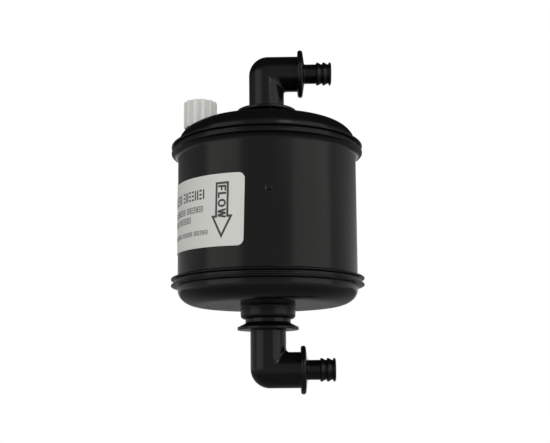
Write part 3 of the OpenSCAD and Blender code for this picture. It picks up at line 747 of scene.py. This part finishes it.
# %% Moulded skin group
SKIN_INPUTS = {
    "Rough low": 0.3, "Rough high": 0.4, "Patch scale": 60.0, "Grain scale": 2500.0, "Dust amount": 0.3}
SKIN_OUTPUTS = ("Roughness", "Tone", "Dust", "Height", "Wave")
SPECK_SCALE, WAVE_SCALE = 900.0, 28.0
SPECK_SIZE, DUSTY_PATCH = (0.16, 0.08), (0.5, 0.72)


def moulded_skin():
    """Gloss patches, their tone, dust on the duller ones, a fine grain's height and a slow wave's height."""
    group = bpy.data.node_groups.new("moulded_skin", "ShaderNodeTree")
    for label, default in SKIN_INPUTS.items():
        socket = group.interface.new_socket(label, in_out="INPUT", socket_type="NodeSocketFloat")
        socket.default_value = default
    for label in SKIN_OUTPUTS:
        group.interface.new_socket(label, in_out="OUTPUT", socket_type="NodeSocketFloat")
    given, made = group.nodes.new("NodeGroupInput").outputs, group.nodes.new("NodeGroupOutput").inputs
    place = object_place(group)
    patch = noise(group, place, given["Patch scale"], Detail=5.0, Roughness=0.6)
    grain = noise(group, place, given["Grain scale"], Detail=3.0, Roughness=0.55)
    wave = noise(group, place, WAVE_SCALE, Detail=1.0)
    specks = add_node(group, "ShaderNodeTexVoronoi", {"Vector": place, "Scale": SPECK_SCALE})
    speck = rising(group, specks.outputs["Distance"], *SPECK_SIZE)
    dust = combine(group, "MULTIPLY", speck, rising(group, patch, *DUSTY_PATCH))
    results = {
        "Roughness": between(group, patch, given["Rough low"], given["Rough high"]), "Tone": patch,
        "Dust": combine(group, "MULTIPLY", dust, given["Dust amount"]), "Height": grain, "Wave": wave}
    for label, value in results.items():
        group.links.new(value, made[label])
    return group


SKIN = moulded_skin()
print("skin group:", len(SKIN.nodes), "nodes")

# %% Material helpers
DUST_COLOUR = (0.35, 0.34, 0.32)
SLOW_WAVE, GRAIN_DEPTH = 0.0001, 0.00005


def new_material(name, **principled):
    """A material with one Principled BSDF whose even values sit on its own sockets."""
    material = bpy.data.materials.new(name)
    material.use_nodes = True
    shader = material.node_tree.nodes["Principled BSDF"]
    for label, value in principled.items():
        shader.inputs[label.replace("_", " ")].default_value = value
    return material, material.node_tree, shader


def emboss(tree, shader, height, strength, distance, **below):
    """Fine relief on a material, over another relief's Normal if one is given."""
    inputs = {"Height": height, "Strength": strength, "Distance": distance, **below}
    tree.links.new(add_node(tree, "ShaderNodeBump", inputs).outputs["Normal"], shader.inputs["Normal"])


def moulded_plastic(name, dark, light, skin, bump, wave=SLOW_WAVE, **principled):
    """A moulded plastic: two close tones, gloss patches, a fine grain, and dust that dulls it."""
    material, tree, shader = new_material(name, **principled)
    made = add_node(tree, "ShaderNodeGroup", skin, node_tree=SKIN).outputs
    colour = mix_colours(tree, made["Dust"], mix_colours(tree, made["Tone"], dark, light), DUST_COLOUR)
    tree.links.new(colour, shader.inputs["Base Color"])
    tree.links.new(made["Roughness"], shader.inputs["Roughness"])
    slow = add_node(tree, "ShaderNodeBump", {"Height": made["Wave"], "Strength": 1.0, "Distance": wave})
    emboss(tree, shader, made["Height"], bump, GRAIN_DEPTH, Normal=slow.outputs["Normal"])
    return material, tree, shader, colour


def wear(material, *pieces):
    """Gives pieces one material and no other."""
    for piece in pieces:
        piece.data.materials.clear()
        piece.data.materials.append(material)
    print(material.name, "on", [piece.name for piece in pieces])


# %% Black mouldings
housing_black = moulded_plastic(
    "black housing", (0.0034, 0.0034, 0.0033), (0.0056, 0.0056, 0.0053),
    {"Rough low": 0.17, "Rough high": 0.25, "Patch scale": 55.0, "Grain scale": 2600.0, "Dust amount": 0.08},
    bump=0.2, wave=0.0004, IOR=1.49, Specular_IOR_Level=0.15)[0]
elbow_black = moulded_plastic(
    "black elbows", (0.0032, 0.0032, 0.0033), (0.0052, 0.0052, 0.0054),
    {"Rough low": 0.15, "Rough high": 0.23, "Patch scale": 90.0, "Grain scale": 3000.0, "Dust amount": 0.08},
    bump=0.25, IOR=1.49, Specular_IOR_Level=0.15)[0]
wear(housing_black, housing, top_cap, bottom_cap)
wear(elbow_black, inlet, outlet)

# %% [markdown]
# ## White vent cap, label film and ink
# The vent cap is natural white plastic that lets a little light in, so it has a weak subsurface. The film
# is matt, with a faint fibre and yellowing, and the ink is a thin dark coat that breaks up slightly, as
# print on a matt film does. Plain colours would do from far away, but close up they look like paper
# cut-outs.

# %% Vent cap finish
# Painted shade: a grey that is multiplied into the white, more of it deeper in each flute.
FLUTE_SHADE, FLUTE_SHADE_MOST = (0.55, 0.54, 0.5), 0.35
vent_white, tree, shader, colour = moulded_plastic(
    "white vent cap", (0.685, 0.695, 0.68), (0.765, 0.775, 0.76),
    {"Rough low": 0.38, "Rough high": 0.5, "Patch scale": 180.0, "Grain scale": 3200.0, "Dust amount": 0.0},
    bump=0.2, Subsurface_Weight=0.08, Subsurface_Radius=(0.001, 0.001, 0.0009), Subsurface_Scale=0.6)
# Painted shade: the white is darkened towards the bottom of each flute, by the flute depth kept on the mesh.
flute = add_node(tree, "ShaderNodeAttribute", attribute_name="flute_depth").outputs["Fac"]
flute_shaded = mix_colours(tree, between(tree, flute, 0.0, FLUTE_SHADE_MOST), colour, FLUTE_SHADE, "MULTIPLY")
tree.links.new(flute_shaded, shader.inputs["Base Color"])
wear(vent_white, vent)

# %% Label film and ink
film_white, tree, shader = new_material("label film")
place = object_place(tree)
fibre, aged = noise(tree, place, 900.0, Detail=6.0), noise(tree, place, 45.0, Detail=3.0)
film_colour = mix_colours(tree, aged, (0.65, 0.65, 0.622), (0.705, 0.705, 0.677))
tree.links.new(film_colour, shader.inputs["Base Color"])
tree.links.new(between(tree, fibre, 0.42, 0.62), shader.inputs["Roughness"])
emboss(tree, shader, fibre, strength=0.25, distance=0.00004)
wear(film_white, film)

ink_dark, tree, shader = new_material("label ink")
broken = noise(tree, object_place(tree), 2200.0, Detail=4.0)
ink_colour = mix_colours(tree, broken, (0.008, 0.008, 0.008), (0.03, 0.03, 0.028))
tree.links.new(ink_colour, shader.inputs["Base Color"])
tree.links.new(between(tree, broken, 0.35, 0.6), shader.inputs["Roughness"])
wear(ink_dark, label_print)

# %% [markdown]
# ## Inside pieces
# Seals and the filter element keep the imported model's own meshes, since nothing shows them until the
# capsule is opened. They could stay grey, but whoever opens it should find true finishes: soft rubber,
# natural white plastic, and the felt of the medium.

# %% Inside finishes
rubber = moulded_plastic(
    "black rubber", (0.008, 0.008, 0.0085), (0.016, 0.016, 0.017),
    {"Rough low": 0.5, "Rough high": 0.7, "Patch scale": 200.0, "Grain scale": 2500.0, "Dust amount": 0.2},
    bump=0.3)[0]
element_white = moulded_plastic(
    "white element", (0.62, 0.61, 0.57), (0.72, 0.71, 0.67),
    {"Rough low": 0.4, "Rough high": 0.55, "Patch scale": 120.0, "Grain scale": 2500.0, "Dust amount": 0.0},
    bump=0.2)[0]
medium_felt, tree, shader = new_material("medium felt", Roughness=0.9)
felt = noise(tree, object_place(tree), 1500.0, Detail=8.0)
felt_colour = mix_colours(tree, felt, (0.6, 0.59, 0.55), (0.8, 0.79, 0.75))
tree.links.new(felt_colour, shader.inputs["Base Color"])
emboss(tree, shader, felt, strength=0.5, distance=0.0001)
INSIDE = (
    (rubber, ("inlet_o_ring", "outlet_o_ring", "vent_seal")),
    (element_white, ("element_top_plate", "element_bottom_plate", "outer_cage", "inner_core")),
    (medium_felt, ("upstream_support", "filter_medium", "downstream_support")))
for material, names in INSIDE:
    wear(material, *[frame["nodes"][name] for name in names])

# %% [markdown]
# ## Floor
# The capsule hangs in front of a white background, as in a catalogue picture, and the floor lies well
# below it, because the camera looks slightly upwards. A plain floor would show a grey edge against the
# background. So away from the middle it turns to plain white for the camera, and near the middle it keeps
# the shadow. In reflections it is white as well, except close by and behind the capsule, where it shades
# the bowl.

# %% Floor
FLOOR_Z, FLOOR_REACH = -0.13, 3.0
corners = [(x * FLOOR_REACH, y * FLOOR_REACH, FLOOR_Z) for x, y in ((-1, -1), (1, -1), (1, 1), (-1, 1))]
floor_mesh = bpy.data.meshes.new("floor")
floor_mesh.from_pydata(corners, [], [(0, 1, 2, 3)])
floor = bpy.data.objects.new("floor", floor_mesh)
bpy.context.scene.collection.objects.link(floor)
print("floor at", FLOOR_Z, "m, reaching", FLOOR_REACH, "m each way")

# %% Floor finish
WHITE_MIDDLE, WHITE_FROM, WHITE_FULL = 0.5, 0.16, 0.5
floor_white, tree, shader = new_material("pale floor", Roughness=0.8)
place = object_place(tree)
floor_colour = mix_colours(tree, noise(tree, place, 3.0), (0.77, 0.77, 0.77), (0.79, 0.79, 0.79))
tree.links.new(floor_colour, shader.inputs["Base Color"])
path = add_node(tree, "ShaderNodeLightPath").outputs
level = add_node(tree, "ShaderNodeVectorMath", {0: place, 1: (1, 1, 0)}, operation="MULTIPLY").outputs[0]
from_middle = add_node(tree, "ShaderNodeVectorMath", {0: level}, operation="LENGTH").outputs["Value"]
spot = add_node(tree, "ShaderNodeSeparateXYZ", {0: place}).outputs
aside = add_node(tree, "ShaderNodeMath", {0: spot["X"]}, operation="ABSOLUTE").outputs[0]
from_back = combine(tree, "SUBTRACT", aside, spot["Y"])
away, in_front = (
    rising(tree, distance, WHITE_FROM, WHITE_FULL, interpolation_type="SMOOTHSTEP")
    for distance in (from_middle, from_back))
seen = combine(tree, "MULTIPLY", between(tree, away, WHITE_MIDDLE, 1.0), path["Is Camera Ray"])
mirrored = combine(tree, "MULTIPLY", in_front, path["Is Glossy Ray"])
fade = combine(tree, "MAXIMUM", seen, mirrored)
white = add_node(tree, "ShaderNodeEmission", {"Color": (1, 1, 1, 1), "Strength": 1.0}).outputs[0]
both = add_node(tree, "ShaderNodeMixShader", {0: fade, 1: shader.outputs[0], 2: white}).outputs[0]
tree.links.new(both, tree.nodes["Material Output"].inputs["Surface"])
wear(floor_white, floor)

# %% [markdown]
# ## Background and lights
# Two soft panels stand at the front, left and right, so the black wall carries a soft band of light
# towards each edge and stays dark in the middle. A small window-like lamp adds the narrow streaks on the
# elbows. An even white room would fill the dome with glare, so the background lights the capsule from the
# front and the sides and grows dark overhead. The camera sees it as plain white, and so does a reflection
# of what lies straight behind.

# %% Background
WORLD_FILL, WORLD_DARK, DARK_SIDE = 0.8, 0.02, (-0.07, 0.31, 1.0)
DARK_FROM, DARK_FULL = 0.25, 0.6
BEHIND_FROM, BEHIND_FULL = 0.93, 0.98
world = bpy.data.worlds.new("studio")
bpy.context.scene.world = world
world.use_nodes = True
tree = world.node_tree
sky = tree.nodes["Background"]
sky.inputs["Color"].default_value = (1, 1, 1, 1)
path = add_node(tree, "ShaderNodeLightPath").outputs
way = add_node(tree, "ShaderNodeTexCoord").outputs["Generated"]
lean = add_node(tree, "ShaderNodeVectorMath", {0: way, 1: DARK_SIDE}, operation="DOT_PRODUCT")
dark = rising(tree, lean.outputs["Value"], DARK_FROM, DARK_FULL)
fill = between(tree, dark, WORLD_FILL, WORLD_DARK)
straight_back = add_node(tree, "ShaderNodeSeparateXYZ", {0: way}).outputs["Y"]
behind = rising(tree, straight_back, BEHIND_FROM, BEHIND_FULL)
shiny = combine(tree, "MAXIMUM", path["Is Glossy Ray"], path["Is Transmission Ray"])
seen = combine(tree, "MAXIMUM", path["Is Camera Ray"], combine(tree, "MULTIPLY", shiny, behind))
tree.links.new(between(tree, seen, fill, 1.0), sky.inputs["Strength"])
print("background:", len(tree.nodes), "nodes")

# %% Lights
PANEL_AWAY, PANEL_Z, PANEL_TALL, PANEL_TINT = 0.75, 0.21, 0.66, (1.0, 0.99, 0.94)
# Each panel: degrees round from the front, width in metres and power in watts.
PANELS = {"left_panel": (-55, 0.637, 1.95), "right_panel": (58, 0.732, 2.3)}
WINDOW_PLACE, WINDOW_AIM, WINDOW_TINT = (0.29, -0.62, 0.36), (0, 0, 0.045), (0.9, 0.97, 1.0)
WINDOW_WIDE, WINDOW_TALL, WINDOW_POWER = 0.16, 0.12, 0.62


def soft_light(name, place, aim, width, height, power, tint):
    """A rectangular lamp at a place, turned to face a point."""
    lamp = bpy.data.lights.new(name, "AREA")
    lamp.shape = "RECTANGLE"
    lamp.size, lamp.size_y = width, height
    lamp.energy = power
    lamp.color = tint
    stand = bpy.data.objects.new(name, lamp)
    bpy.context.scene.collection.objects.link(stand)
    stand.location = place
    stand.rotation_euler = (Vector(aim) - Vector(place)).to_track_quat("-Z", "Y").to_euler()
    print(name, "at", [round(v, 3) for v in place], "with", power, "W")


for name, (azimuth, width, power) in PANELS.items():
    x = PANEL_AWAY * math.sin(math.radians(azimuth))
    y = -PANEL_AWAY * math.cos(math.radians(azimuth))
    soft_light(name, (x, y, PANEL_Z), (0, 0, PANEL_Z), width, PANEL_TALL, power, PANEL_TINT)
soft_light("window", WINDOW_PLACE, WINDOW_AIM, WINDOW_WIDE, WINDOW_TALL, WINDOW_POWER, WINDOW_TINT)

# %% [markdown]
# ## Camera
# The picture was taken from close by and from below the middle, so the lips of the upper flange curve
# upwards more than those of the lower one, while the sides of the housing stay almost parallel. A camera
# that simply tilted up would make the sides lean together. One that stays close to level, with the lens
# shifted up a little to hold the capsule in the frame, keeps them upright.

# %% Camera
CAMERA_AZIMUTH, CAMERA_DISTANCE, CAMERA_Z = math.radians(1.24), 0.2978, -0.0562
PITCH, YAW, ROLL = math.radians(7.37), math.radians(-0.45), math.radians(0.47)
FOCAL, SENSOR, LENS_SHIFT = 60.77, 36.0, 0.0902


def heading(angle, rise, length):
    """A vector with a level length and a rise; at angle 0 it points from the front to the back."""
    return Vector((-math.sin(angle) * length, math.cos(angle) * length, rise))


eye = heading(CAMERA_AZIMUTH, CAMERA_Z, -CAMERA_DISTANCE)
forward = heading(CAMERA_AZIMUTH + YAW, math.sin(PITCH), math.cos(PITCH))
camera_data = bpy.data.cameras.new("camera")
camera_data.lens = FOCAL
camera_data.sensor_width = SENSOR
camera_data.shift_y = LENS_SHIFT
camera = bpy.data.objects.new("camera", camera_data)
bpy.context.scene.collection.objects.link(camera)
look = forward.to_track_quat("-Z", "Y").to_matrix()
camera.matrix_world = Matrix.Translation(eye) @ (look @ Matrix.Rotation(-ROLL, 3, "Z")).to_4x4()
bpy.context.scene.camera = camera
bpy.context.scene.view_settings.view_transform = "Standard"
print("camera at", [round(v, 3) for v in eye])
